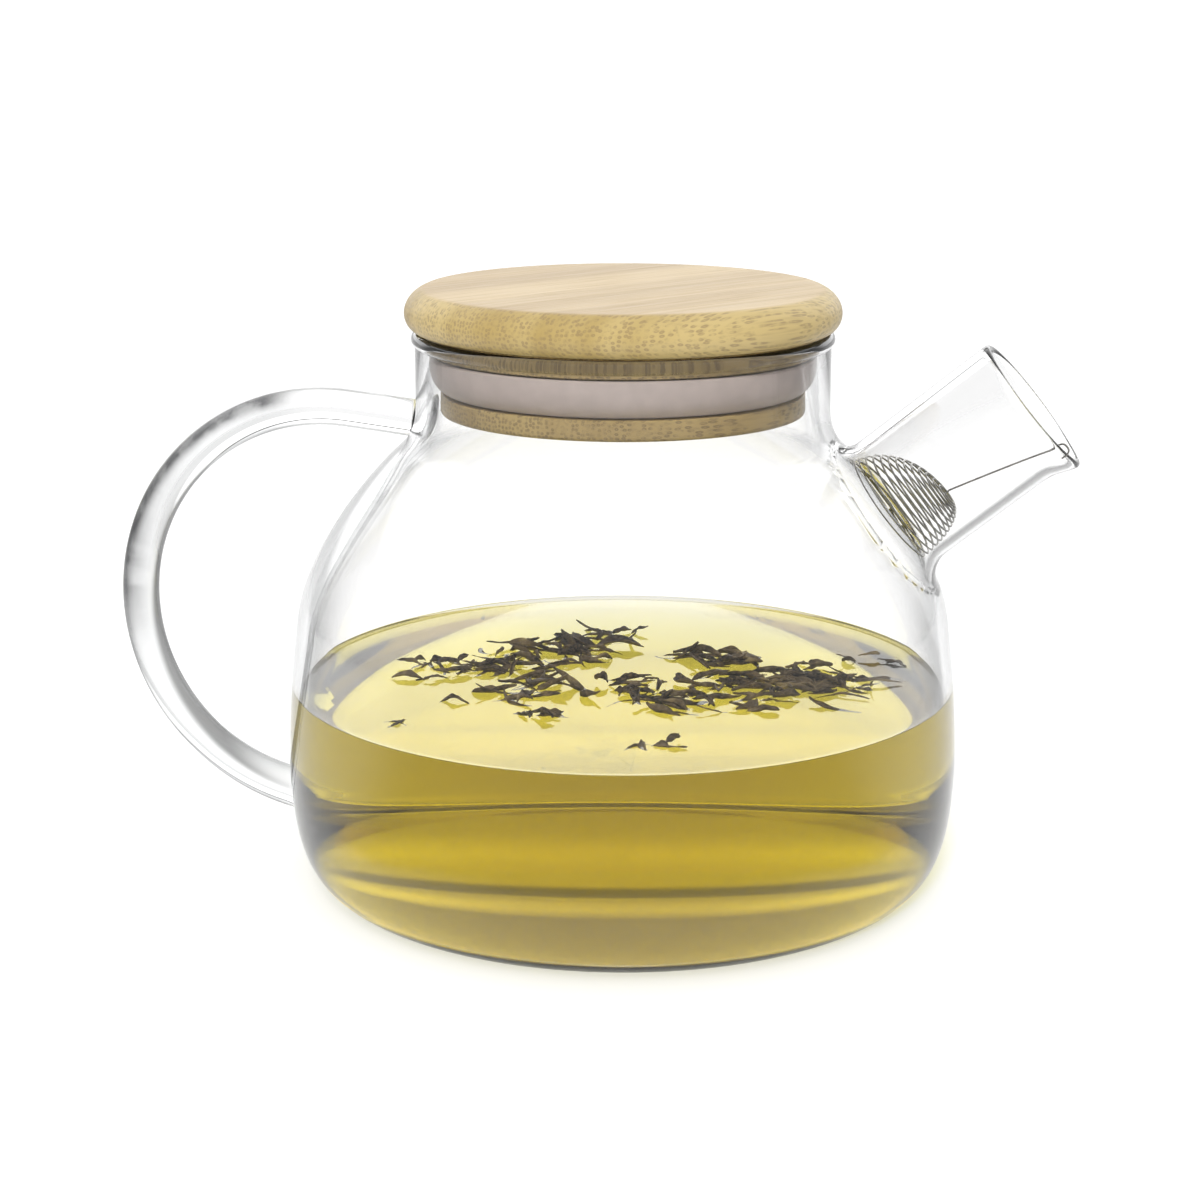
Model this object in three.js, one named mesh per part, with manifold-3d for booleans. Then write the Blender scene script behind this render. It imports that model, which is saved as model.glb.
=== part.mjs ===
// Glass teapot with a bamboo lid and a wire spring strainer in its spout.
// Units are millimetres and +Z is up. The origin is the middle of the base, the spout points along +X
// and the handle along -X.
import * as THREE from 'three';
import { mergeVertices } from 'three/addons/utils/BufferGeometryUtils.js';
import Module from 'manifold-3d';

const wasm = await Module();
wasm.setup();

// ---- driving dimensions -------------------------------------------------------------------------
const seatGap = 0.3; // clearance between faces that touch or are fused on the real pot

const glassWall = 2.2;
const baseWall = 2.8;
const baseFlatRadius = 60;
const bellyRadius = 69.7; // outside, at the widest
const bellyHeight = 25; // height of the widest place
const shoulderDrop = 2.4; // how much the barrel narrows up to the shoulder
const domeRise = 35.5; // from the shoulder up to the foot of the neck
const neckFlare = 2.8; // how much wider the neck's foot is
const neckFootRise = 8.5; // from there to where the neck runs straight
const neckRise = 14.9; // the straight neck, rim included
const neckRadius = 42.2; // outside
const rimHeight = 114.4; // top of the fire-polished rim
const rimBeadRadius = 1.45;

const spoutRadius = 14.25; // outside
const spoutWall = 1.8;
const spoutRise = 39.5; // degrees above level
const spoutReach = 12.5; // centre of the spout's open end, out past the belly
const spoutRimDrop = 12.1; // and below the pot's rim
const lipReach = 1.9; // how far the pouring lip is drawn out
const lipHalfAngle = 0.42; // radians round the rim
const lipLength = 7; // along the tube

const handleRodRadius = 3.9;
const handleBendInset = 6.7; // centre of the bend, in from the belly's outside
const handleTopDrop = 17.8; // top of the bend, below the pot's rim
const handleFall = 6.4; // degrees that the rod falls from there to the neck
const handleFootHeight = 11.4; // the rod's lower run, which meets the barrel

const capOverhang = 2; // past the outside of the neck
const capThickness = 8.2;
const capEdgeWidth = 3.6; // from the flat top out to the widest place
const capWidestShare = 0.42; // height of the widest place, as a share of the thickness
const capCornerAngle = 65; // how far round its arc the edge runs before the flat top cuts it off
const capUndercut = 2.8; // from there in to the flat underside
const plugDepth = 16.5; // from the underside of the cap to the foot of the plug
const plugClearance = 2.8; // between the plug and the inside of the neck
const plugFootThickness = 4.2;
const plugEdgeRadius = 0.9;
const plugGroove = 3.7; // how far the plug's core is cut in for the seal
const sealThickness = 1.2;
const sealBandHeight = 4.6;
const collarClearance = 0.7; // between the plug's upper collar and the inside of the neck
const collarThickness = 3.9;

const wireRadius = 0.25;
const coilTurns = 13;
const coilLength = 11.9; // base turn to tip, along the spout
const coilDepth = 36.6; // base turn, from the spout's open end
const coilFullness = 0.75; // below 1 the dome is fuller than a round one
const coilTipRadius = 1.1;
const coilTipSag = 4.2; // the tip hangs this far below the spout's axis
const hookAngle = 40; // degrees round the rim from the pouring lip to where the wire crosses it
const hookReach = 0.4; // clearance between the hook's end and the outside of the spout
const hookDrop = 1.2; // how far the hook turns back outside the rim

// ---- finishes -----------------------------------------------------------------------------------
const glassFinish = { color: 0xf2f6f5, roughness: 0.03, metalness: 0, transparent: true, opacity: 0.35 };
const bambooFinish = { color: 0xd9b779, roughness: 0.55, metalness: 0 };
const siliconeFinish = { color: 0xc9cdcc, roughness: 0.45, metalness: 0 };
const steelFinish = { color: 0xb9bcbd, roughness: 0.25, metalness: 1 };

// ---- solids and meshes --------------------------------------------------------------------------
function solidOf(geometry) {
  const bare = geometry.clone();
  bare.deleteAttribute('normal');
  bare.deleteAttribute('uv');
  const merged = mergeVertices(bare, 1e-4);
  return new wasm.Manifold(new wasm.Mesh({
    numProp: 3,
    vertProperties: new Float32Array(merged.attributes.position.array),
    triVerts: new Uint32Array(merged.index.array),
  }));
}

function geometryOf(solid) {
  const mesh = solid.getMesh();
  const geometry = new THREE.BufferGeometry();
  geometry.setAttribute('position', new THREE.BufferAttribute(new Float32Array(mesh.vertProperties), 3));
  geometry.setIndex(new THREE.BufferAttribute(new Uint32Array(mesh.triVerts), 1));
  geometry.computeVertexNormals();
  return geometry;
}

function piece(name, geometry, finish) {
  const mesh = new THREE.Mesh(geometry, new THREE.MeshStandardMaterial(finish));
  mesh.name = name;
  return mesh;
}

// A closed profile of (radius, height) points, turned about the Z axis.
function turned(profile, segments) {
  return new THREE.LatheGeometry(profile, segments).rotateX(Math.PI / 2);
}

function bezier(a, b, c, d, steps) {
  const curve = new THREE.CubicBezierCurve(
    new THREE.Vector2(...a), new THREE.Vector2(...b), new THREE.Vector2(...c), new THREE.Vector2(...d));
  return curve.getPoints(steps);
}

function arc(centreX, centreY, radiusX, radiusY, from, to, steps) {
  const curve = new THREE.EllipseCurve(centreX, centreY, radiusX, radiusY, from, to, to < from);
  return curve.getPoints(steps);
}

// Moves an open outline sideways by a distance, along its own normals.
function offset(points, distance) {
  return points.map((point, i) => {
    const before = points[Math.max(i - 1, 0)];
    const after = points[Math.min(i + 1, points.length - 1)];
    const along = after.clone().sub(before).normalize();
    return new THREE.Vector2(point.x + along.y * distance, point.y - along.x * distance);
  });
}

// ---- glass body ---------------------------------------------------------------------------------
const shoulderRadius = bellyRadius - shoulderDrop;
const neckStartHeight = rimHeight - neckRise;
const domeTopHeight = neckStartHeight - neckFootRise;
const domeTopRadius = neckRadius + neckFlare;
const shoulderHeight = domeTopHeight - domeRise;
const neckInside = neckRadius - glassWall;
const beadHeight = rimHeight - rimBeadRadius;

// Outside of the blown body, from the edge of the flat base up to the start of the rim bead.
function bodyOutline() {
  const foot = bezier(
    [baseFlatRadius, 0],
    [bellyRadius - 3.2, bellyHeight * 0.04],
    [bellyRadius - 0.1, bellyHeight * 0.36],
    [bellyRadius, bellyHeight], 6);
  const barrelRise = shoulderHeight - bellyHeight;
  const barrel = bezier(
    [bellyRadius, bellyHeight],
    [bellyRadius, bellyHeight + barrelRise * 0.4],
    [shoulderRadius + shoulderDrop * 0.5, shoulderHeight - barrelRise * 0.3],
    [shoulderRadius, shoulderHeight], 3);
  const domeRun = shoulderRadius - domeTopRadius;
  const dome = bezier(
    [shoulderRadius, shoulderHeight],
    [shoulderRadius - domeRun * 0.06, shoulderHeight + domeRise * 0.32],
    [domeTopRadius + domeRun * 0.45, domeTopHeight - domeRise * 0.25],
    [domeTopRadius, domeTopHeight], 7);
  const neckRoot = bezier(
    [domeTopRadius, domeTopHeight],
    [domeTopRadius - neckFlare * 0.6, domeTopHeight + neckFootRise * 0.22],
    [neckRadius, domeTopHeight + neckFootRise * 0.5],
    [neckRadius, neckStartHeight], 4);
  return [...foot, ...barrel.slice(1), ...dome.slice(1), ...neckRoot.slice(1)];
}

function rimBead() {
  return arc(neckInside + rimBeadRadius, beadHeight, rimBeadRadius, rimBeadRadius, -Math.PI / 3, Math.PI, 8);
}

function bodyShell() {
  const outside = bodyOutline();
  const inside = offset(outside, -glassWall)
    .filter((point) => point.y > baseWall && point.x > neckInside)
    .reverse();
  const floorEdge = new THREE.Vector2(inside[inside.length - 1].x - glassWall, baseWall);
  return turned([
    new THREE.Vector2(0, 0),
    ...outside,
    ...rimBead(),
    new THREE.Vector2(neckInside, neckStartHeight),
    ...inside,
    floorEdge,
    new THREE.Vector2(0, baseWall),
  ], 56);
}

// The whole body grown by a clearance, to cut what is fused onto it.
function bodyEnvelope(clearance) {
  const outside = offset(bodyOutline(), clearance);
  return turned([
    new THREE.Vector2(0, -clearance),
    new THREE.Vector2(baseFlatRadius, -clearance),
    ...outside,
    new THREE.Vector2(neckRadius + clearance, rimHeight),
    new THREE.Vector2(0, rimHeight),
  ], 56);
}

// ---- spout --------------------------------------------------------------------------------------
const spoutBore = spoutRadius - spoutWall;
const spoutRimReach = bellyRadius + spoutReach;
const spoutRimHeight = rimHeight - spoutRimDrop;
const spoutAngle = THREE.MathUtils.degToRad(spoutRise);
const spoutAlong = new THREE.Vector3(Math.cos(spoutAngle), 0, Math.sin(spoutAngle));
const spoutUp = new THREE.Vector3(-Math.sin(spoutAngle), 0, Math.cos(spoutAngle));
const spoutMouth = new THREE.Vector3(spoutRimReach, 0, spoutRimHeight);

// Spout frame: x up across the bore, y to the side, z out of the mouth, with zero at the open end.
const spoutFrame = new THREE.Matrix4()
  .makeBasis(spoutUp, new THREE.Vector3(0, -1, 0), spoutAlong)
  .setPosition(spoutMouth);

function inSpout(depth, up, side) {
  return new THREE.Vector3(up, -side, -depth).applyMatrix4(spoutFrame);
}

// Draws the lower edge of the mouth out into a small pouring lip.
function drawLip(geometry) {
  const position = geometry.attributes.position;
  for (let i = 0; i < position.count; i += 1) {
    const x = position.getX(i);
    const y = position.getY(i);
    const z = position.getZ(i);
    const angle = Math.atan2(y, -x);
    const round = Math.exp(-((angle / lipHalfAngle) ** 2));
    const near = THREE.MathUtils.smoothstep(z, -lipLength, 0);
    const radius = Math.hypot(x, y);
    const pull = lipReach * round * near;
    position.setXYZ(i, x * (1 + pull / radius), y * (1 + pull / radius), z + pull * 0.25);
  }
  return geometry;
}

function spoutTube() {
  const length = spoutRimReach;
  const bodyEnd = -length;
  const edge = spoutWall / 2;
  const rings = [-lipLength, -lipLength * 0.66, -lipLength * 0.33];
  const outer = rings.map((z) => new THREE.Vector2(spoutRadius, z));
  const inner = rings.map((z) => new THREE.Vector2(spoutBore, z)).reverse();
  const tube = turned([
    new THREE.Vector2(spoutBore, bodyEnd),
    new THREE.Vector2(spoutRadius, bodyEnd),
    ...outer,
    ...arc(spoutBore + edge, -edge, edge, edge, 0, Math.PI, 4),
    ...inner,
    new THREE.Vector2(spoutBore, bodyEnd),
  ], 40);
  return drawLip(tube).applyMatrix4(spoutFrame);
}

function spoutDrill() {
  const rod = new THREE.CylinderGeometry(spoutBore, spoutBore, spoutRimReach - domeTopRadius, 40);
  rod.rotateX(Math.PI / 2);
  rod.translate(0, 0, -(spoutRimReach - domeTopRadius) / 2 - spoutRadius);
  return rod.applyMatrix4(spoutFrame);
}

// ---- handle -------------------------------------------------------------------------------------
const handleTopHeight = rimHeight - handleTopDrop;
const handleBendRadius = (handleTopHeight - handleFootHeight) / 2;
const handleBendReach = bellyRadius - handleBendInset;

function handlePath() {
  const bendHeight = handleTopHeight - handleBendRadius;
  const fall = THREE.MathUtils.degToRad(handleFall);
  const onBend = (angle) => new THREE.Vector3(
    -handleBendReach + handleBendRadius * Math.cos(angle), 0,
    bendHeight + handleBendRadius * Math.sin(angle));
  const bendStart = onBend(Math.PI / 2 - fall);
  const run = -neckInside - bendStart.x;
  const neckEnd = new THREE.Vector3(-neckInside, 0, bendStart.z - run * Math.tan(fall));
  const points = [neckEnd, neckEnd.clone().lerp(bendStart, 0.5)];
  const bendSteps = 14;
  for (let i = 0; i <= bendSteps; i += 1) {
    points.push(onBend(Math.PI / 2 - fall + (Math.PI + fall) * (i / bendSteps)));
  }
  return new THREE.CatmullRomCurve3(points);
}

function rod(path, radius, sides, steps) {
  const section = new THREE.Shape();
  section.absarc(0, 0, radius, 0, Math.PI * 2, false);
  return new THREE.ExtrudeGeometry(section, {
    steps, extrudePath: path, bevelEnabled: false, curveSegments: sides / 2,
  });
}

// ---- lid ----------------------------------------------------------------------------------------
const capUnderside = rimHeight + seatGap;
const capRadius = neckRadius + capOverhang;
const plugRadius = neckInside - plugClearance;
const plugCoreRadius = plugRadius - plugGroove;
const plugFoot = capUnderside - plugDepth;
const plugLedge = plugFoot + plugFootThickness;
const collarRadius = neckInside - collarClearance;
const collarFoot = capUnderside - seatGap - collarThickness;
const sealRadius = neckInside - seatGap;
const sealFoot = plugLedge + seatGap;
const sealHeight = collarFoot - seatGap - sealFoot;

// A board with a rounded edge, which meets the flat top at a visible corner.
function lidCap() {
  const below = capThickness * capWidestShare;
  const above = capThickness - below;
  const widest = capUnderside + below;
  const corner = THREE.MathUtils.degToRad(capCornerAngle);
  const reach = capEdgeWidth / (1 - Math.cos(corner));
  return turned([
    new THREE.Vector2(0, capUnderside),
    ...arc(capRadius - capUndercut, widest, capUndercut, below, -Math.PI / 2, 0, 5),
    ...arc(capRadius - reach, widest, reach, above / Math.sin(corner), 0, corner, 5).slice(1),
    new THREE.Vector2(0, capUnderside + capThickness),
  ], 64);
}

// Turned in one piece: a foot, a cut-in core that holds the seal, and a collar under the cap.
function lidPlug() {
  const corner = plugRadius - plugEdgeRadius;
  return turned([
    new THREE.Vector2(0, plugFoot),
    ...arc(corner, plugFoot + plugEdgeRadius, plugEdgeRadius, plugEdgeRadius, -Math.PI / 2, 0, 3),
    new THREE.Vector2(plugRadius, plugLedge),
    new THREE.Vector2(plugCoreRadius, plugLedge),
    new THREE.Vector2(plugCoreRadius, collarFoot),
    new THREE.Vector2(collarRadius, collarFoot),
    new THREE.Vector2(collarRadius, capUnderside - seatGap),
    new THREE.Vector2(0, capUnderside - seatGap),
  ], 64);
}

// Ring of U section: a band round the plug's core, a web on its ledge and a lip that wipes the neck.
function lidSeal() {
  const bandInside = plugCoreRadius + seatGap;
  const bandOutside = bandInside + sealThickness;
  const top = sealFoot + sealHeight;
  const lipInside = sealRadius - sealThickness;
  const outer = bezier([plugRadius - 0.8, sealFoot], [plugRadius + 1.2, sealFoot + 0.8],
    [sealRadius, sealFoot + sealHeight * 0.45], [sealRadius, top], 5);
  const inner = bezier([lipInside, top], [lipInside, sealFoot + sealHeight * 0.5],
    [plugRadius, sealFoot + sealThickness + 1], [plugRadius - 1.6, sealFoot + sealThickness], 5);
  const start = new THREE.Vector2(bandInside, sealFoot);
  return turned([
    start,
    ...outer,
    ...inner,
    new THREE.Vector2(bandOutside, sealFoot + sealThickness),
    new THREE.Vector2(bandOutside, sealFoot + sealBandHeight),
    new THREE.Vector2(bandInside, sealFoot + sealBandHeight),
    start,
  ], 48);
}

// ---- strainer -----------------------------------------------------------------------------------
const coilBaseRadius = spoutBore - seatGap - wireRadius;

// Wire wound into a dome, its tip leaning down towards the pouring lip.
class CoilCurve extends THREE.Curve {
  getPoint(t) {
    const angle = t * coilTurns * 2 * Math.PI;
    const climb = t * Math.PI / 2;
    const spread = Math.max(Math.cos(climb), 0) ** coilFullness;
    const radius = coilTipRadius + (coilBaseRadius - coilTipRadius) * spread;
    const up = radius * Math.cos(angle) - coilTipSag * t * t;
    return inSpout(coilDepth - coilLength * Math.sin(climb), up, radius * Math.sin(angle));
  }
}

// Straight wire from the coil's tip to the mouth, bent over the rim beside the pouring lip.
function stemPath() {
  const round = THREE.MathUtils.degToRad(hookAngle);
  const start = coilDepth - coilLength - wireRadius * 2 - seatGap;
  const insideRadius = spoutBore - wireRadius - seatGap;
  const outsideRadius = spoutRadius + wireRadius + hookReach;
  const overRim = -(wireRadius + seatGap + 0.3);
  const place = (depth, radius) => inSpout(depth, -radius * Math.cos(round), radius * Math.sin(round));
  const tip = inSpout(start, coilTipRadius - coilTipSag, 0);
  const mouth = place(0, insideRadius);
  return new THREE.CatmullRomCurve3([
    tip,
    tip.clone().lerp(mouth, 0.5),
    mouth,
    place(overRim, insideRadius + spoutWall * 0.3),
    place(overRim - wireRadius, spoutRadius - spoutWall * 0.1),
    place(overRim * 0.5, outsideRadius),
    place(hookDrop, outsideRadius),
  ], false, 'centripetal');
}

// ---- assembly -----------------------------------------------------------------------------------
const body = solidOf(bodyShell()).subtract(solidOf(spoutDrill()));
const envelope = solidOf(bodyEnvelope(seatGap));
const spout = solidOf(spoutTube()).subtract(envelope);
const handle = solidOf(rod(handlePath(), handleRodRadius, 14, 40)).subtract(envelope);

const pot = new THREE.Group();
pot.add(
  piece('glass_body', geometryOf(body), glassFinish),
  piece('spout', geometryOf(spout), glassFinish),
  piece('handle', geometryOf(handle), glassFinish),
);

const lid = new THREE.Group();
lid.add(
  piece('lid_cap', lidCap(), bambooFinish),
  piece('lid_plug', lidPlug(), bambooFinish),
  piece('lid_seal', lidSeal(), siliconeFinish),
);

const strainer = new THREE.Group();
strainer.add(
  piece('strainer_coil', rod(new CoilCurve(), wireRadius, 4, coilTurns * 20), steelFinish),
  piece('strainer_stem', rod(stemPath(), wireRadius, 6, 40), steelFinish),
);

const teapot = new THREE.Group();
teapot.add(pot, lid, strainer);
export default teapot;
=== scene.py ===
import bmesh
import bpy
import math
import random
from mathutils import Matrix, Vector, noise


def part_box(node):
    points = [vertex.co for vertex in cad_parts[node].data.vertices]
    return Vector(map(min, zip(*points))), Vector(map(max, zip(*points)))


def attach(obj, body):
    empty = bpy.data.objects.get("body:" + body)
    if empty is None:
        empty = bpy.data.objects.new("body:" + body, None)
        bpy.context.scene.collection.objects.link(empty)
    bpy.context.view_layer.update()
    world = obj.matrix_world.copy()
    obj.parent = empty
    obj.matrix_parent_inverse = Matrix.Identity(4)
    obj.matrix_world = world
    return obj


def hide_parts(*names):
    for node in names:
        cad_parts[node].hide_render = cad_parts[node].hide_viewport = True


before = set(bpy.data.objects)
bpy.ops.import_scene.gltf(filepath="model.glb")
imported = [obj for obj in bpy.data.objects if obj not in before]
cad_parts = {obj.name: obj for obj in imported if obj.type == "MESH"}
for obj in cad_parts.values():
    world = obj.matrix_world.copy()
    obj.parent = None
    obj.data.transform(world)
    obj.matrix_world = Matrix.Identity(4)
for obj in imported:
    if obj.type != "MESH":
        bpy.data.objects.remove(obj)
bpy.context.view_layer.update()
scene = bpy.context.scene
mm = 0.001


# camera
camera = {
    "lens": 75,
    "reach": 504 * mm,  # level distance to the pot's axis
    "height": 187.6 * mm,
    "round": 10.0,  # degrees towards the spout's side
    "down": 14.45,
    "aside": 0.53,  # looks this far to the left of the axis
}


def setCamera(c):
    data = bpy.data.cameras.new("camera")
    data.lens = c["lens"]
    data.clip_start = 0.01
    cam = bpy.data.objects.new("camera", data)
    scene.collection.objects.link(cam)
    turn = math.radians(c["round"])
    cam.location = (c["reach"] * math.sin(turn), -c["reach"] * math.cos(turn), c["height"])
    cam.rotation_euler = (math.radians(90 - c["down"]), 0, turn + math.radians(c["aside"]))
    scene.camera = cam


setCamera(camera)


# mesh helpers
def bezier(a, b, c, d, steps):
    points = []
    for i in range(steps + 1):
        t = i / steps
        weights = ((1 - t) ** 3, 3 * t * (1 - t) ** 2, 3 * t * t * (1 - t), t ** 3)
        points.append(tuple(sum(w * p[k] for w, p in zip(weights, (a, b, c, d))) for k in (0, 1)))
    return points


def arc(centre, size, start, end, steps):
    angles = [math.radians(start + (end - start) * i / steps) for i in range(steps + 1)]
    return [(centre[0] + size[0] * math.cos(a), centre[1] + size[1] * math.sin(a)) for a in angles]


def offsetOutline(points, distance):
    # moves an outline sideways along its own normals
    moved = []
    for i, point in enumerate(points):
        before = Vector(points[max(i - 1, 0)])
        after = Vector(points[min(i + 1, len(points) - 1)])
        along = (after - before).normalized()
        moved.append((point[0] + along.y * distance, point[1] - along.x * distance))
    return moved


def turnOutline(outline, segments):
    # spins an outline of (radius, height) in millimetres round the pot's axis
    bm = bmesh.new()
    verts = [bm.verts.new((r * mm, 0, z * mm)) for r, z in outline]
    edges = [bm.edges.new(pair) for pair in zip(verts, verts[1:])]
    bmesh.ops.spin(
        bm, geom=verts + edges, cent=(0, 0, 0), axis=(0, 0, 1),
        angle=math.tau, steps=segments, use_merge=True)
    bmesh.ops.remove_doubles(bm, verts=bm.verts, dist=1e-6)
    bmesh.ops.recalc_face_normals(bm, faces=bm.faces)
    return bm


def pullTube(count, rings):
    # pulls a ring of edges through a list of rings, each of them a rule from angle to place
    bm = bmesh.new()
    angle = bm.verts.layers.float.new("angle")
    ring = bmesh.ops.create_circle(bm, segments=count, radius=1, cap_ends=True)["verts"]
    for v in ring:
        v[angle] = math.atan2(v.co.y, v.co.x)
        v.co = rings[0](v[angle]) * mm
    edges = list(bm.edges)
    for rule in rings[1:]:
        made = bmesh.ops.extrude_edge_only(bm, edges=edges)["geom"]
        edges = [e for e in made if isinstance(e, bmesh.types.BMEdge)]
        for v in made:
            if isinstance(v, bmesh.types.BMVert):
                v.co = rule(v[angle]) * mm
    bmesh.ops.edgeloop_fill(bm, edges=edges)
    bmesh.ops.recalc_face_normals(bm, faces=bm.faces)
    return bm


def makeObject(name, bm, material, smoothAngle=40):
    mesh = bpy.data.meshes.new(name)
    bm.to_mesh(mesh)
    bm.free()
    obj = bpy.data.objects.new(name, mesh)
    scene.collection.objects.link(obj)
    mesh.shade_smooth()
    if smoothAngle:
        mesh.set_sharp_from_angle(angle=math.radians(smoothAngle))
    if material:
        mesh.materials.append(material)
    return obj


def combine(target, other, operation):
    # joins or cuts one closed mesh with another, and takes the tool away
    cut = target.modifiers.new(operation, "BOOLEAN")
    cut.operation = operation
    cut.solver = "MANIFOLD"
    cut.object = other
    graph = bpy.context.evaluated_depsgraph_get()
    mesh = bpy.data.meshes.new_from_object(target.evaluated_get(graph))
    target.modifiers.clear()
    target.data = mesh
    bpy.data.objects.remove(other)
    return target


# material helpers
def newMaterial(name):
    material = bpy.data.materials.new(name)
    material.use_nodes = True
    tree = material.node_tree
    return material, tree, tree.nodes["Principled BSDF"]


def addNode(tree, kind, **values):
    node = tree.nodes.new(kind)
    for key, value in values.items():
        setattr(node, key, value)
    return node


def link(tree, source, target):
    tree.links.new(source, target)


def feed(tree, source, socket):
    # a socket is linked, a colour is given its alpha and a plain value is set
    if isinstance(source, bpy.types.NodeSocket):
        link(tree, source, socket)
    elif isinstance(source, tuple):
        socket.default_value = (*source, 1)
    else:
        socket.default_value = source


def mixColour(tree, factor, first, second):
    mix = addNode(tree, "ShaderNodeMix", data_type="RGBA")
    feed(tree, factor, mix.inputs["Factor"])
    feed(tree, first, mix.inputs[6])
    feed(tree, second, mix.inputs[7])
    return mix.outputs[2]


def mixValue(tree, factor, first, second):
    mix = addNode(tree, "ShaderNodeMix", data_type="FLOAT")
    feed(tree, factor, mix.inputs[0])
    feed(tree, first, mix.inputs[2])
    feed(tree, second, mix.inputs[3])
    return mix.outputs[0]


def ramp(tree, source, low, high, start=0.0, end=1.0, kind="LINEAR"):
    node = addNode(tree, "ShaderNodeMapRange", interpolation_type=kind)
    for socket, value in zip(("From Min", "From Max", "To Min", "To Max"), (low, high, start, end)):
        node.inputs[socket].default_value = value
    link(tree, source, node.inputs["Value"])
    return node.outputs["Result"]


def smooth(tree, source, low, high, start=0.0):
    return ramp(tree, source, low, high, start, kind="SMOOTHSTEP")


def joinValues(tree, operation, a, b, clamp=False):
    node = addNode(tree, "ShaderNodeMath", operation=operation, use_clamp=clamp)
    feed(tree, a, node.inputs[0])
    feed(tree, b, node.inputs[1])
    return node.outputs["Value"]


def multiply(tree, a, b):
    return joinValues(tree, "MULTIPLY", a, b)


def stretch(tree, place, factors):
    node = addNode(tree, "ShaderNodeVectorMath", operation="MULTIPLY")
    node.inputs[1].default_value = factors
    link(tree, place, node.inputs[0])
    return node.outputs["Vector"]


def lengthOf(tree, place):
    node = addNode(tree, "ShaderNodeVectorMath", operation="LENGTH")
    link(tree, place, node.inputs[0])
    return node.outputs["Value"]


def cloudAt(tree, place, scale, detail):
    node = addNode(tree, "ShaderNodeTexNoise")
    node.inputs["Detail"].default_value = detail
    feed(tree, scale, node.inputs["Scale"])
    link(tree, place, node.inputs["Vector"])
    return node.outputs


def addBump(tree, shader, height, strength, distance, invert=False):
    bump = addNode(tree, "ShaderNodeBump", invert=invert)
    bump.inputs["Strength"].default_value = strength
    bump.inputs["Distance"].default_value = distance
    link(tree, height, bump.inputs["Height"])
    link(tree, bump.outputs["Normal"], shader.inputs["Normal"])


def glassMaterial(name, glass):
    material, tree, shader = newMaterial(name)
    shader.inputs["Base Color"].default_value = (*glass["colour"], 1)
    shader.inputs["Roughness"].default_value = glass["roughness"]
    shader.inputs["IOR"].default_value = glass["ior"]
    shader.inputs["Transmission Weight"].default_value = 1
    path = addNode(tree, "ShaderNodeLightPath")
    clear = addNode(tree, "ShaderNodeBsdfTransparent")
    clear.inputs["Color"].default_value = (*glass["shadow"], 1)
    mix = addNode(tree, "ShaderNodeMixShader")
    out = tree.nodes["Material Output"]
    link(tree, path.outputs["Is Shadow Ray"], mix.inputs["Fac"])
    link(tree, shader.outputs["BSDF"], mix.inputs[1])
    link(tree, clear.outputs["BSDF"], mix.inputs[2])
    link(tree, mix.outputs["Shader"], out.inputs["Surface"])
    return material


# glass pot: body, spout and handle fused in one
pot = {
    "wall": 2.2,
    "base": 2.8,
    "baseFlat": 60.0,  # radius of the flat underneath
    "belly": 69.7,
    "bellyHeight": 25.0,
    "shoulder": 67.3,
    "shoulderHeight": 55.5,
    "domeTop": 45.0,
    "domeTopHeight": 91.0,
    "neck": 42.2,
    "neckStart": 99.5,
    "bead": 1.45,  # radius of the fire-polished rim
    "segments": 160,
}
spout = {
    "radius": 14.25,
    "wall": 1.8,
    "rise": 39.5,  # degrees above level
    "reach": 82.2,
    "height": 102.3,
    "filletTop": 3.0,  # weld fillet on the neck's side
    "filletBottom": 4.5,
    "lip": 1.9,
    "lipAngle": 0.42,
    "lipLength": 7.0,
    "segments": 96,
}
handle = {
    "radius": 3.9,
    "bendCentre": (-62.88, 54),
    "bendRadius": 42.6,
    "fall": 6.4,  # degrees that the rod falls from its top to the neck
    "footSwell": 0.55,  # the rod is thicker at its lower weld
    "weld": 2.2,
    "segments": 32,
    "steps": 96,
}
# the edge, rod and rodEdge greys and the streak colour are painted shade in the glass's colour, for the dark
# surroundings seen in its edges
clearGlass = {
    "colour": (1.0, 1.0, 1.0), "edge": (0.24, 0.25, 0.255), "shadow": (0.93, 0.94, 0.94),
    "rod": (0.88, 0.885, 0.885), "rodEdge": (0.14, 0.145, 0.15), "paintedStreak": (0.03, 0.03, 0.032),
    "roughness": 0.0, "ior": 1.47,
    "wallTurn": (0.48, 1.0),  # how far a wall turns away while it greys, and then the rod
    "rodTurn": (0.05, 0.8),
    "foot": (0.002, 0.014),  # the walls stay clear this low, where the base meets the floor
    "rodFrom": (-0.064, -0.076),
    "streakWay": (-0.74, 0, 0.67),  # the middle of the streak, seen from the bend's centre
    "streakArc": (0.40, 0.85),
    "streakWidth": 2.4,
    "patchScale": 190,
}
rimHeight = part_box("glass_body")[1].z / mm


def potOutline():
    p = pot
    foot = bezier(
        (p["baseFlat"], 0), (p["belly"] - 3.2, 1.0),
        (p["belly"] - 0.1, 9.0), (p["belly"], p["bellyHeight"]), 18)
    barrel = bezier(
        (p["belly"], p["bellyHeight"]), (p["belly"], 37.2),
        (p["shoulder"] + 1.2, 46.4), (p["shoulder"], p["shoulderHeight"]), 10)
    dome = bezier(
        (p["shoulder"], p["shoulderHeight"]), (66.0, 66.9),
        (55.0, 82.1), (p["domeTop"], p["domeTopHeight"]), 22)
    root = bezier(
        (p["domeTop"], p["domeTopHeight"]), (43.3, 92.9),
        (p["neck"], 95.2), (p["neck"], p["neckStart"]), 8)
    return foot + barrel[1:] + dome[1:] + root[1:]


def radiusAt(outline, height):
    for (r0, z0), (r1, z1) in zip(outline, outline[1:]):
        if z0 <= height <= z1:
            return r0 + (r1 - r0) * (height - z0) / max(z1 - z0, 1e-6)
    return outline[-1][0] if height > outline[-1][1] else outline[0][0]


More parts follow.
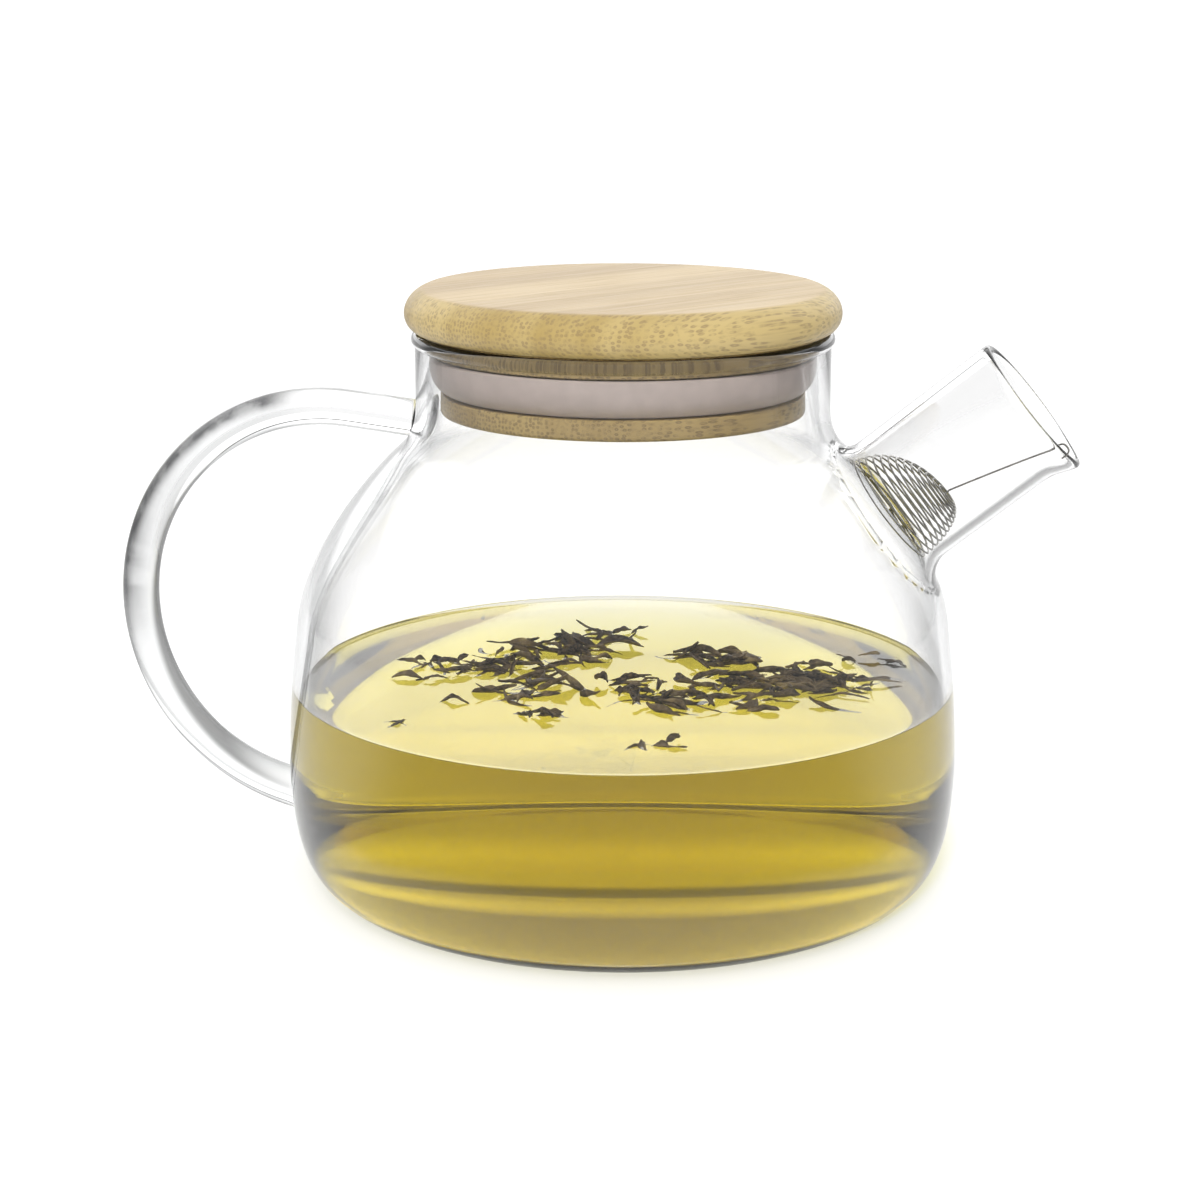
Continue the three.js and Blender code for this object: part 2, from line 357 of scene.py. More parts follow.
outside = potOutline()
inside = [p for p in offsetOutline(outside, -pot["wall"]) if p[1] > pot["base"] + 0.6]
neckInside = pot["neck"] - pot["wall"]
beadCentre = (neckInside + pot["bead"], rimHeight - pot["bead"])


def outerSolid():
    outline = [(0, 0)] + outside
    outline += arc(beadCentre, (pot["bead"], pot["bead"]), -60, 90, 8)
    outline += [(0, rimHeight)]
    return turnOutline(outline, pot["segments"])


def cavityOutline():
    floorEdge = inside[0]
    heel = bezier(
        (floorEdge[0] - 6.5, pot["base"]), (floorEdge[0] - 3.0, pot["base"]),
        (floorEdge[0] - 1.0, floorEdge[1] - 0.3), floorEdge, 5)
    return [(0, pot["base"])] + heel[:-1] + inside


def cavitySolid():
    outline = cavityOutline()
    outline += arc(beadCentre, (pot["bead"], pot["bead"]), 180, 91, 6)
    outline += [(beadCentre[0], rimHeight + 5), (0, rimHeight + 5)]
    return turnOutline(outline, pot["segments"])


rise = math.radians(spout["rise"])
spoutOut = Vector((math.cos(rise), 0, math.sin(rise)))
spoutUp = Vector((-math.sin(rise), 0, math.cos(rise)))
spoutMouth = Vector((spout["reach"], 0, spout["height"]))


def inSpout(depth, radius, angle):
    # a point in the spout: depth from the mouth, angle from the top round the bore
    side = Vector((0, math.sin(angle), 0))
    return spoutMouth - spoutOut * depth + (spoutUp * math.cos(angle) + side) * radius


def wallDepth(outline, radius, angle):
    # how deep a line along the spout runs before it meets the pot
    near, far = 5.0, 60.0
    for _ in range(40):
        middle = (near + far) / 2
        p = inSpout(middle, radius, angle)
        if math.hypot(p.x, p.y) > radiusAt(outline, p.z):
            near = middle
        else:
            far = middle
    return near


def lipPull(depth, angle):
    # the lower edge of the mouth is drawn out to pour cleanly
    away = math.pi - abs(angle)
    near = max(0.0, 1 - depth / spout["lipLength"])
    return spout["lip"] * math.exp(-(away / spout["lipAngle"]) ** 2) * near * near * (3 - 2 * near)


def spoutShape(radius, outline, wall, edge):
    # a closed tube whose root spreads into the pot's wall; the bore's edge turns outwards at the mouth
    def fillet(angle):
        return spout["filletBottom"] + (spout["filletTop"] - spout["filletBottom"]) * (
            0.5 + 0.5 * math.cos(angle)) + wall

    def edgeRing(turn):
        def rule(angle):
            depth = edge * (1 - math.sin(turn))
            grow = abs(edge) * (1 - math.cos(turn))
            wide = radius - grow if wall == 0 else radius + grow
            return inSpout(depth, wide + lipPull(depth, angle), angle)
        return rule

    def tubeRing(t):
        def rule(angle):
            depth = edge + (wallDepth(outline, radius, angle) - fillet(angle) - edge) * t
            return inSpout(depth, radius + lipPull(depth, angle), angle)
        return rule

    def filletRing(turn, sunk=0.0):
        def rule(angle):
            wide = radius + fillet(angle) * (1 - math.cos(turn))
            depth = wallDepth(outline, wide, angle) - fillet(angle) * (1 - math.sin(turn))
            return inSpout(depth + sunk, wide, angle)
        return rule

    rings = [edgeRing(math.radians(a)) for a in (90, 68, 45, 22, 0)]
    if wall:
        rings = [lambda angle: inSpout(-4, radius + edge + lipPull(0, angle), angle)] + rings
    rings += [tubeRing(k / 30) for k in range(1, 31)]
    rings += [filletRing(math.radians(a)) for a in range(10, 91, 10)]
    rings += [filletRing(math.pi / 2, 3.0)]
    return pullTube(spout["segments"], rings)


def handlePlace(t):
    # centre and direction of the rod, from the neck round to the barrel
    cx, cz = handle["bendCentre"]
    fall = math.radians(handle["fall"])
    size = handle["bendRadius"]
    start = Vector((cx + size * math.sin(fall), 0, cz + size * math.cos(fall)))
    away = Vector((-math.cos(fall), 0, math.sin(fall)))
    straight = (-neckInside - start.x) / math.cos(fall)
    length = straight + (math.pi + fall) * size
    run = t * length
    if run < straight:
        return start - away * (straight - run), away, run, length
    a = math.pi / 2 - fall + (run - straight) / size
    return Vector((cx + size * math.cos(a), 0, cz + size * math.sin(a))), Vector(
        (-math.sin(a), 0, math.cos(a))), run, length


def handleShape():
    # round rod, swelling into a small weld at each end
    neckGap = pot["neck"] - neckInside
    footStop = pot["belly"] - abs(handle["bendCentre"][0]) - 0.6

    def ring(t):
        centre, along, run, length = handlePlace(t)
        out = Vector((along.z, 0, -along.x))
        toNeck = max(run - neckGap, 0)
        toFoot = max(length - run - footStop, 0)
        radius = handle["radius"] + handle["footSwell"] * max(0.0, 1 - toFoot / 24)
        for gap in (toNeck, toFoot):
            near = min(max(1 - gap / handle["weld"], 0), 1)
            radius += handle["weld"] * (1 - math.sqrt(1 - near * near))
        return lambda angle: centre + (out * math.cos(angle) + Vector((0, math.sin(angle), 0))) * radius

    steps = handle["steps"]
    ends = [k / 400 for k in range(0, 14)]
    middle = [0.035 + 0.93 * k / steps for k in range(steps + 1)]
    places = ends + middle + [1 - k for k in reversed(ends)]
    return pullTube(handle["segments"], [ring(t) for t in places])


def shadeGlass(material, glass):
    # painted shade: clear when seen square on and painted greyer where the surface turns away, in place of
    # the dark surroundings its edges would show; the solid handle is painted greyer still
    tree = material.node_tree
    turned = addNode(tree, "ShaderNodeLayerWeight")
    turned.inputs["Blend"].default_value = 0.5
    facing = turned.outputs["Facing"]
    place = addNode(tree, "ShaderNodeTexCoord").outputs["Object"]
    axes = addNode(tree, "ShaderNodeSeparateXYZ")
    link(tree, place, axes.inputs["Vector"])
    rim = multiply(tree, smooth(tree, facing, *glass["wallTurn"]),
                   smooth(tree, axes.outputs["Z"], *glass["foot"]))
    wall = mixColour(tree, rim, glass["colour"], glass["edge"])
    rod = mixColour(tree, smooth(tree, facing, *glass["rodTurn"]), glass["rod"], glass["rodEdge"])
    # a painted shade streak runs along the outside of the bend, broken into patches by noise
    across, up = handle["bendCentre"]
    spoke = addNode(tree, "ShaderNodeVectorMath", operation="MULTIPLY_ADD")
    link(tree, place, spoke.inputs[0])
    spoke.inputs[1].default_value = (1, 0, 1)
    spoke.inputs[2].default_value = (-across * mm, 0, -up * mm)
    way = addNode(tree, "ShaderNodeVectorMath", operation="NORMALIZE")
    link(tree, spoke.outputs["Vector"], way.inputs[0])
    side = addNode(tree, "ShaderNodeVectorMath", operation="DOT_PRODUCT")
    link(tree, way.outputs["Vector"], side.inputs[0])
    side.inputs[1].default_value = glass["streakWay"]
    patches = cloudAt(tree, place, glass["patchScale"], 3)["Fac"]
    outer = handle["bendRadius"] * mm
    reach = lengthOf(tree, spoke.outputs["Vector"])
    paintedStreak = multiply(tree, smooth(tree, reach, outer, outer + glass["streakWidth"] * mm),
                      smooth(tree, side.outputs["Value"], *glass["streakArc"]))
    paintedStreak = multiply(tree, paintedStreak, ramp(tree, patches, 0.36, 0.56, 0.7, 1.0))
    rod = mixColour(tree, paintedStreak, rod, glass["paintedStreak"])
    link(tree, mixColour(tree, smooth(tree, axes.outputs["X"], *glass["rodFrom"]), wall, rod),
         tree.nodes["Principled BSDF"].inputs["Base Color"])


glass = glassMaterial("clearGlass", clearGlass)
shadeGlass(glass, clearGlass)
glassPot = makeObject("glassPot", outerSolid(), glass)
combine(glassPot, makeObject("spoutOuter", spoutShape(spout["radius"], outside, 0, 0.9), glass), "UNION")
combine(glassPot, makeObject("handleRod", handleShape(), glass), "UNION")
cavity = makeObject("cavity", cavitySolid(), glass)
bore = spout["radius"] - spout["wall"]
combine(cavity, makeObject("boreCutter", spoutShape(bore, inside, spout["wall"], 0.9), glass), "UNION")
combine(glassPot, cavity, "DIFFERENCE")
glassPot.data.shade_smooth()
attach(glassPot, "pot")
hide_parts("glass_body", "spout", "handle")
print("glass pot:", len(glassPot.data.polygons), "faces")


# bamboo
def bambooGroup():
    # fibres run along X; a cut across them shows dots, a cut along them shows streaks
    group = bpy.data.node_groups.new("bambooFibres", "ShaderNodeTree")
    for name, kind in (("Vector", "Vector"), ("Fibre Size", "Float"), ("Strip Width", "Float")):
        group.interface.new_socket(name, in_out="INPUT", socket_type="NodeSocket" + kind)
    for name in ("Fibres", "Tone", "Streaks"):
        group.interface.new_socket(name, in_out="OUTPUT", socket_type="NodeSocketFloat")
    start = addNode(group, "NodeGroupInput")
    end = addNode(group, "NodeGroupOutput")

    # the fibres wander a little along their length
    wander = cloudAt(group, start.outputs["Vector"], 45, 1)["Color"]
    bend = addNode(group, "ShaderNodeVectorMath", operation="MULTIPLY_ADD")
    bend.inputs[1].default_value = (0, 0.0012, 0.0010)
    link(group, wander, bend.inputs[0])
    link(group, start.outputs["Vector"], bend.inputs[2])

    # one fibre to a cell of the cross-section, each a dark ring round a paler core
    section = addNode(group, "ShaderNodeSeparateXYZ")
    link(group, bend.outputs["Vector"], section.inputs["Vector"])
    face = addNode(group, "ShaderNodeCombineXYZ")
    link(group, section.outputs["Y"], face.inputs["X"])
    link(group, section.outputs["Z"], face.inputs["Y"])
    cells = addNode(group, "ShaderNodeTexVoronoi", voronoi_dimensions="2D")
    cells.inputs["Randomness"].default_value = 0.6
    link(group, face.outputs["Vector"], cells.inputs["Vector"])
    link(group, joinValues(group, "DIVIDE", 1.0, start.outputs["Fibre Size"]), cells.inputs["Scale"])
    ring = smooth(group, cells.outputs["Distance"], 0.40, 0.26)
    core = smooth(group, cells.outputs["Distance"], 0.0, 0.2, 0.45)

    # each fibre fades in and out along its length
    patchy = cloudAt(group, start.outputs["Vector"], 420, 2)["Fac"]
    shown = multiply(group, multiply(group, ring, core), smooth(group, patchy, 0.32, 0.58))
    link(group, shown, end.inputs["Fibres"])

    # strips glued side by side, each of its own tone
    strips = stretch(group, start.outputs["Vector"], (0.02, 1, 0.05))
    stripScale = joinValues(group, "DIVIDE", 1.0, start.outputs["Strip Width"])
    link(group, cloudAt(group, strips, stripScale, 2)["Fac"], end.inputs["Tone"])

    # fine streaks run the whole length
    fine = stretch(group, bend.outputs["Vector"], (0.03, 1, 1))
    link(group, cloudAt(group, fine, 1400, 3)["Fac"], end.inputs["Streaks"])
    return group


def bambooMaterial(name, wood, fibres):
    material, tree, shader = newMaterial(name)
    place = addNode(tree, "ShaderNodeTexCoord")
    turn = addNode(tree, "ShaderNodeMapping")
    turn.inputs["Rotation"].default_value = (0, 0, -math.radians(wood["grainTurn"]))
    turn.inputs["Location"].default_value = wood["shift"]
    link(tree, place.outputs["Object"], turn.inputs["Vector"])
    grain = addNode(tree, "ShaderNodeGroup", node_tree=fibres)
    grain.inputs["Fibre Size"].default_value = wood["fibreSize"]
    grain.inputs["Strip Width"].default_value = wood["stripWidth"]
    link(tree, turn.outputs["Vector"], grain.inputs["Vector"])

    # the flat top is paler than the rounded edge
    reach = lengthOf(tree, stretch(tree, place.outputs["Object"], (1, 1, 0)))
    edge = ramp(tree, reach, wood["topRadius"] - 0.0006, wood["topRadius"] + 0.0008)
    tone = ramp(tree, grain.outputs["Tone"], 0.35, 0.65)
    top = mixColour(tree, tone, wood["topDark"], wood["topPale"])
    side = mixColour(tree, tone, wood["edgeDark"], wood["edgePale"])
    ground = mixColour(tree, edge, top, side)
    streaks = ramp(tree, grain.outputs["Streaks"], 0.5, 0.78, 0.0, wood["streaks"])
    streaked = mixColour(tree, streaks, ground, wood["fibre"])
    strength = ramp(tree, edge, 0, 1, wood["fibreOnTop"], wood["fibreOnEdge"])
    spotted = mixColour(tree, multiply(tree, grain.outputs["Fibres"], strength), streaked, wood["fibre"])
    link(tree, spotted, shader.inputs["Base Color"])
    rough = ramp(tree, grain.outputs["Streaks"], 0.3, 0.8, wood["roughness"] - 0.06, wood["roughness"] + 0.1)
    link(tree, rough, shader.inputs["Roughness"])
    height = joinValues(tree, "ADD", grain.outputs["Fibres"], grain.outputs["Streaks"])
    addBump(tree, shader, height, 0.25, 0.00012, invert=True)
    return material


# lid: bamboo cap, plug and silicone seal
capWood = {
    "grainTurn": 53, "shift": (0, 0.004, 0.002),
    "fibreSize": 0.00085, "stripWidth": 0.011,
    "topRadius": 0.0405,
    "topPale": (0.56, 0.415, 0.21), "topDark": (0.42, 0.29, 0.13),
    "edgePale": (0.57, 0.435, 0.185), "edgeDark": (0.41, 0.29, 0.095),
    "fibre": (0.26, 0.18, 0.09),
    "streaks": 0.35, "fibreOnTop": 0.10, "fibreOnEdge": 0.6,
    "roughness": 0.42,
}
# the plug's bamboo is the cap's with darker edge and fibre colours: painted shade for the plug sitting under
# the cap inside the neck
shadedPlugWood = dict(
    capWood, shift=(0.01, 0.021, 0.013), topRadius=0.0, fibreOnEdge=0.6,
    edgePale=(0.50, 0.36, 0.145), edgeDark=(0.38, 0.26, 0.095), fibre=(0.14, 0.095, 0.045))
cap = {"edge": 3.6, "widest": 0.42, "corner": 65, "undercut": 2.8, "segments": 192}
plug = {"foot": 4.2, "edge": 0.9, "core": 33.5, "collarThickness": 3.9, "footRadius": 37.2, "segments": 160}
seal = {"thickness": 1.2, "band": 4.6, "webReach": 36.4, "segments": 160}


def lidCap():
    # a rounded edge, widest below its middle, which meets the flat top at a fine corner
    low, high = (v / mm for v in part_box("lid_cap"))
    below = (high.z - low.z) * cap["widest"]
    above = high.z - low.z - below
    corner = math.radians(cap["corner"])
    reach = cap["edge"] / (1 - math.cos(corner))
    widest = low.z + below
    outline = [(0, low.z), (high.x * 0.5, low.z)]
    outline += arc((high.x - cap["undercut"], widest), (cap["undercut"], below), -90, 0, 12)
    outline += arc((high.x - reach, widest), (reach, above / math.sin(corner)), 0, cap["corner"], 16)[1:]
    outline += [(high.x * 0.88, high.z), (high.x * 0.5, high.z), (0, high.z)]
    return turnOutline(outline, cap["segments"])


def lidPlug():
    low, high = (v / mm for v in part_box("lid_plug"))
    collarFoot = high.z - plug["collarThickness"]
    ledge = low.z + plug["foot"]
    edge = plug["edge"]
    outline = [(0, low.z), (plug["footRadius"] * 0.5, low.z)]
    outline += arc((plug["footRadius"] - edge, low.z + edge), (edge, edge), -90, 0, 5)
    outline += arc((plug["footRadius"] - 0.4, ledge - 0.4), (0.4, 0.4), 0, 90, 3)
    outline += [(plug["core"], ledge), (plug["core"], collarFoot)]
    outline += arc((high.x - 0.4, collarFoot + 0.4), (0.4, 0.4), -90, 0, 3)
    outline += arc((high.x - 0.3, high.z - 0.3), (0.3, 0.3), 0, 90, 3)
    outline += [(high.x * 0.5, high.z), (0, high.z)]
    return turnOutline(outline, plug["segments"])


def lidSeal():
    low, high = (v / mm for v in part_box("lid_seal"))
    t = seal["thickness"]
    inner = plug["core"] + 0.3
    tall = high.z - low.z
    outer = bezier((seal["webReach"], low.z), (plug["footRadius"] + 1.2, low.z + 0.8),
                   (high.x, low.z + tall * 0.45), (high.x, high.z - 0.3), 14)
    back = bezier((high.x - t + 0.3, high.z), (high.x - t, low.z + tall * 0.5),
                  (plug["footRadius"], low.z + t + 1), (seal["webReach"] - 0.8, low.z + t), 14)
    bandTop = low.z + seal["band"]
    outline = [(inner, low.z)] + outer + [(high.x - 0.3, high.z)] + back
    outline += [(inner + t, low.z + t), (inner + t, bandTop), (inner, bandTop), (inner, low.z)]
    return turnOutline(outline, seal["segments"])


fibres = bambooGroup()
bambooCap = makeObject("bambooCap", lidCap(), bambooMaterial("oiledBamboo", capWood, fibres), 30)
bambooPlug = makeObject("bambooPlug", lidPlug(), bambooMaterial("turnedBamboo", shadedPlugWood, fibres), 30)

silicone = {"colour": (0.61, 0.51, 0.465), "roughness": 0.42, "clearness": 0.15}


def siliconeMaterial():
    material, tree, shader = newMaterial("milkySilicone")
    place = addNode(tree, "ShaderNodeTexCoord")
    cloud = cloudAt(tree, place.outputs["Object"], 260, 3)["Fac"]
    pale = tuple(c * 1.12 for c in silicone["colour"])
    link(tree, mixColour(tree, ramp(tree, cloud, 0.3, 0.7), silicone["colour"], pale),
         shader.inputs["Base Color"])
    link(tree, ramp(tree, cloud, 0.3, 0.7, silicone["roughness"] - 0.05, silicone["roughness"] + 0.05),
         shader.inputs["Roughness"])
    shader.inputs["Transmission Weight"].default_value = silicone["clearness"]
    shader.inputs["IOR"].default_value = 1.41
    addBump(tree, shader, cloud, 0.15, 0.00005)
    return material


sealRing = makeObject("sealRing", lidSeal(), siliconeMaterial(), 45)
for piece, node, slot in ((bambooCap, "lid_cap", "bamboo"), (bambooPlug, "lid_plug", "bamboo"),
                          (sealRing, "lid_seal", "silicone")):
    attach(piece, "lid")
    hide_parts(node)
print("lid ready")


# strainer: one wire, wound, run out along the spout and hooked over the mouth
wire = {
    "radius": 0.2,
    "turns": 14,
    "stepsPerTurn": 40,
    "depth": 36.6,
    "length": 11.9,
    "fullness": 0.95,  # below 1 the dome is fuller than a round one
    "tipRadius": 1.1,
    "tipSag": 5.6,  # how far the tip hangs below the spout's own axis
    "sagCurve": 1.6,
    "clearance": 0.3,
    "hookAngle": 40,
    "hookRise": 0.6,
    "hookDrop": 1.2,
    "softenedPoints": 20,
}


def wireRun():
    innerReach = bore - wire["clearance"] - wire["radius"]
    points = []
    steps = wire["turns"] * wire["stepsPerTurn"]
    for i in range(steps + 1):
        t = i / steps
        angle = t * wire["turns"] * math.tau
        climb = t * math.pi / 2
        dome = max(math.cos(climb), 0) ** wire["fullness"]
        radius = wire["tipRadius"] + (innerReach - wire["tipRadius"]) * dome
        p = inSpout(wire["depth"] - wire["length"] * math.sin(climb), radius, angle)
        points.append(p - spoutUp * wire["tipSag"] * t ** wire["sagCurve"])
    hook = math.pi + math.radians(wire["hookAngle"])
    tip = inSpout(wire["depth"] - wire["length"] - 1.0, 0, 0) - spoutUp * (wire["tipSag"] - wire["tipRadius"])
    over = -(wire["radius"] + wire["hookRise"])
    outerReach = spout["radius"] + wire["radius"] + 0.4
    mouth = inSpout(0, innerReach, hook)
    bends = [
        mouth,
        inSpout(over, innerReach + spout["wall"] * 0.3, hook),
        inSpout(over - wire["radius"], spout["radius"] - spout["wall"] * 0.1, hook),
        inSpout(over * 0.5, outerReach, hook),
        inSpout(wire["hookDrop"], outerReach, hook),
    ]
    points.append(tip)
    points += [tip.lerp(mouth, k / 12) for k in range(1, 12)]
    for a, b in zip(bends, bends[1:]):
        points += [a.lerp(b, k / 4) for k in range(4)]
    points.append(bends[-1])
    count = wire["softenedPoints"]
    for _ in range(3):  # soften the bends
        ends = points[-count:]
        for i in range(1, count - 1):
            points[len(points) - count + i] = (ends[i - 1] + ends[i] * 2 + ends[i + 1]) / 4
    return points


def wireObject():
    curve = bpy.data.curves.new("wirePath", "CURVE")
    curve.dimensions = "3D"
    curve.bevel_depth = wire["radius"] * mm
    curve.bevel_resolution = 1
    curve.use_fill_caps = True
    run = wireRun()
    spline = curve.splines.new("POLY")
    spline.points.add(len(run) - 1)
    for point, place in zip(spline.points, run):
        point.co = (*(place * mm), 1)
    shape = bpy.data.objects.new("wirePath", curve)
    scene.collection.objects.link(shape)
    graph = bpy.context.evaluated_depsgraph_get()
    mesh = bpy.data.meshes.new_from_object(shape.evaluated_get(graph))
    bpy.data.objects.remove(shape)
    obj = bpy.data.objects.new("strainerWire", mesh)
    scene.collection.objects.link(obj)
    mesh.shade_smooth()
    return obj


steel = {"colour": (0.42, 0.41, 0.38), "dark": (0.24, 0.23, 0.21), "roughness": 0.22}


def steelMaterial():
    material, tree, shader = newMaterial("drawnSteel")
    shader.inputs["Metallic"].default_value = 1
    place = addNode(tree, "ShaderNodeTexCoord")
    stain = cloudAt(tree, place.outputs["Object"], 420, 4)["Fac"]
    link(tree, mixColour(tree, ramp(tree, stain, 0.35, 0.7), steel["colour"], steel["dark"]),
         shader.inputs["Base Color"])
    link(tree, ramp(tree, stain, 0.3, 0.7, steel["roughness"], steel["roughness"] + 0.18),
         shader.inputs["Roughness"])
    return material


strainerWire = wireObject()
strainerWire.data.materials.append(steelMaterial())
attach(strainerWire, "strainer")
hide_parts("strainer_coil", "strainer_stem")
print("strainer wire:", len(strainerWire.data.polygons), "faces")


# tea and leaves
tea = {
    "level": 41.3,
    "meniscus": 0.5,
    "overlap": 0.25,  # the tea wets the glass, so its skin lies just inside the wall
    "colour": (0.86, 0.80, 0.0),
    "density": 46.0,
    "ior": 1.333,
}


def teaShape():
    skin = offsetOutline(cavityOutline(), tea["overlap"])
    wet = [p for p in skin if p[1] < tea["level"] + tea["meniscus"]]
    top = (radiusAt(skin, tea["level"] + tea["meniscus"]), tea["level"] + tea["meniscus"])
    curl = bezier(top, (top[0] - 0.35, tea["level"] + 0.25), (top[0] - 1.0, tea["level"]),
                  (top[0] - 3.4, tea["level"]), 8)
    outline = [(0, wet[0][1])] + wet[1:] + curl + [(top[0] * 0.5, tea["level"]), (0, tea["level"])]
    return turnOutline(outline, pot["segments"])


def teaMaterial():
    material = glassMaterial("brewedTea", {
        "colour": (1, 1, 1), "shadow": (1, 1, 1), "roughness": 0.0, "ior": tea["ior"]})
    tree = material.node_tree
    stain = addNode(tree, "ShaderNodeVolumeAbsorption")
    stain.inputs["Color"].default_value = (*tea["colour"], 1)
    stain.inputs["Density"].default_value = tea["density"]
    link(tree, stain.outputs["Volume"], tree.nodes["Material Output"].inputs["Volume"])
    return material


teaBody = makeObject("tea", teaShape(), teaMaterial(), 50)
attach(teaBody, "pot")

leaves = {
    "seed": 11,
    "thickness": 0.3,
    "clumps": 22,
    "perClump": 11,
    "left": -33,
    "width": 80,
    "middle": 6,
    "depth": 30,  # half the heap's depth, at its middle
    "twigShare": 0.12,
    "strays": [(-44, 8, 7), (-40, -2, 5), (-30, 4, 5), (6, -47, 5), (-41, -32, 2), (42, 6, 6), (54, 10, 5),
               (36, -6, 5), (-16, -27, 7), (24, -24, 3)],  # across, away and how many
}


def leaf(bm, rng, across, away, length, width):
    # a rolled, twisted and torn leaf, lying on the tea
    made = bmesh.ops.create_grid(bm, x_segments=8, y_segments=3, size=0.5)["verts"]
    roll = rng.uniform(1.2, 4.2)
    arch = rng.uniform(-0.9, 1.1)
    twist = rng.uniform(-1.2, 1.2)
    sway = rng.uniform(-0.5, 0.5)
    lift = tea["level"] + rng.uniform(-0.7, 1.0)
    shape = rng.uniform(0, 50)
    lean = rng.uniform(-0.6, 0.6)
    turn = Matrix.Rotation(rng.gauss(0, 0.75), 3, "Z") @ Matrix.Rotation(rng.gauss(0, 0.24), 3, "Y")
    for v in made:
        u, w = v.co.x * 2, v.co.y * 2
        torn = 0.3 * noise.noise((u * 2.6, w * 1.5, shape)) + 0.15 * noise.noise((u * 7, w * 2, shape + 9))
        taper = max(0.14, 1 - abs(u + lean * 0.3) ** 2.1) * (1 + torn)
        bend = w * roll
        side = width / 2 * taper * math.sin(bend) / max(roll, 0.3)
        rise = width / 2 * taper * (1 - math.cos(bend)) / max(roll, 0.3)
        turned = twist * u
        y = side * math.cos(turned) - rise * math.sin(turned) + sway * length * u * u * 0.5
        z = side * math.sin(turned) + rise * math.cos(turned) + arch * (u * u - 0.4) * length * 0.1
        rough = noise.noise_vector((u * 4, w * 3, shape)) * 0.55
        v.co = (turn @ Vector((u * length / 2, y, z)) + rough + Vector((across, away, lift))) * mm


def teaLeaves():
    rng = random.Random(leaves["seed"])
    noise.seed_set(leaves["seed"])
    bm = bmesh.new()
    for i in range(leaves["clumps"]):
        across = leaves["left"] + leaves["width"] * (i + rng.random()) / leaves["clumps"]
        narrow = (abs(across - leaves["middle"]) / 48) ** 1.5
        away = 3 + rng.uniform(-leaves["depth"], leaves["depth"]) * (1 - narrow)
        for _ in range(leaves["perClump"]):
            x = across + rng.gauss(0, 4.5)
            y = away + rng.gauss(0, 3.0)
            if rng.random() < leaves["twigShare"]:
                leaf(bm, rng, x, y, rng.uniform(6, 13), rng.uniform(1.2, 1.9))
            elif rng.random() < 0.5:
                leaf(bm, rng, x, y, rng.uniform(3, 7), rng.uniform(2.4, 4.6))
            else:
                leaf(bm, rng, x, y, rng.uniform(6, 12), rng.uniform(2.8, 5.5))
    for across, away, count in leaves["strays"]:
        for _ in range(count):
            leaf(bm, rng, across + rng.gauss(0, 3.0), away + rng.gauss(0, 1.4),
                 rng.uniform(3.5, 7.5), rng.uniform(1.8, 3.8))
    bmesh.ops.rotate(bm, verts=bm.verts, cent=(0, 0, 0),
                     matrix=Matrix.Rotation(math.radians(camera["round"]), 3, "Z"))
    return bm


leafColours = {
    "dark": (0.020, 0.015, 0.010),
    "brown": (0.14, 0.10, 0.05),
    "olive": (0.34, 0.26, 0.12),
    "vein": (0.20, 0.15, 0.09),
}


def leafMaterial():
    material, tree, shader = newMaterial("driedLeaf")
    place = addNode(tree, "ShaderNodeTexCoord").outputs["Object"]
    patch = cloudAt(tree, place, 190, 4)["Fac"]
    vein = cloudAt(tree, place, 1500, 3)["Fac"]
    body = mixColour(tree, ramp(tree, patch, 0.42, 0.62), leafColours["dark"], leafColours["brown"])
    body = mixColour(tree, ramp(tree, patch, 0.60, 0.72), body, leafColours["olive"])
    link(tree, mixColour(tree, ramp(tree, vein, 0.46, 0.7, 0, 0.7), body, leafColours["vein"]),
         shader.inputs["Base Color"])
    link(tree, ramp(tree, vein, 0.3, 0.7, 0.35, 0.7), shader.inputs["Roughness"])
    shader.inputs["Specular IOR Level"].default_value = 0.3
    addBump(tree, shader, vein, 0.8, 0.0002)
    return material


leafHeap = makeObject("teaLeaves", teaLeaves(), leafMaterial(), 0)
thick = leafHeap.modifiers.new("thickness", "SOLIDIFY")
thick.thickness = leaves["thickness"] * mm
thick.offset = 0
soften = leafHeap.modifiers.new("smooth", "SUBSURF")
soften.levels = 1
soften.render_levels = 1
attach(leafHeap, "pot")
print("tea and leaves ready")


# floor and light
stage = {
    "floorRadius": 0.8,
    "floorFade": 0.45,  # the floor melts into the white surroundings from here out
    "drop": 0.0002,
    "floorColour": (0.94, 0.94, 0.94),
    "glow": 0.19,
    "glowUnderPot": 0.64,
    "underReach": (0.058, 0.085),
    # dark cards on the floor, out of sight, draw the glass edges; arcs are degrees from straight behind
    "card": (0.38, 0.38, 0.38),
    "cardReach": (0.082, 0.112),
    "cardStart": (44, 58),
    "cardEnd": (135, 115),
    "mirrorArc": (95, 120),
    # how bright it is around the pot; heights are sines above level
    "white": 1.15,  # what the camera sees past the floor
    "sides": 0.55,
    "front": 0.42,
    "frontArc": (118, 138),
    "back": 1.0,
    "backArc": (52, 36),
    "panel": 2.0,  # a bright screen behind the pot, just above the floor's far edge
    "panelHeight": (0.02, 0.10),
    "gap": 0.2,  # the dark slot above the screen, seen low in the tea
    "gapHeight": (0.31, 0.335),
    "high": 1.6,
    "highArc": (85, 65),
    "highHeight": (0.36, 0.40),
    "ceiling": 0.80,
    "ceilingHeight": (0.52, 0.70),
    "keySize": 0.16,
    "keyDistance": 1.4,
    "keyRise": 47,  # degrees above level, from the camera's side
    "keyAside": -9,
    "keyPower": 11.5,
    "keyAim": 0.06,
}


def arcMask(tree, angle, arc):
    return smooth(tree, angle, *(math.radians(a) for a in stage[arc]))


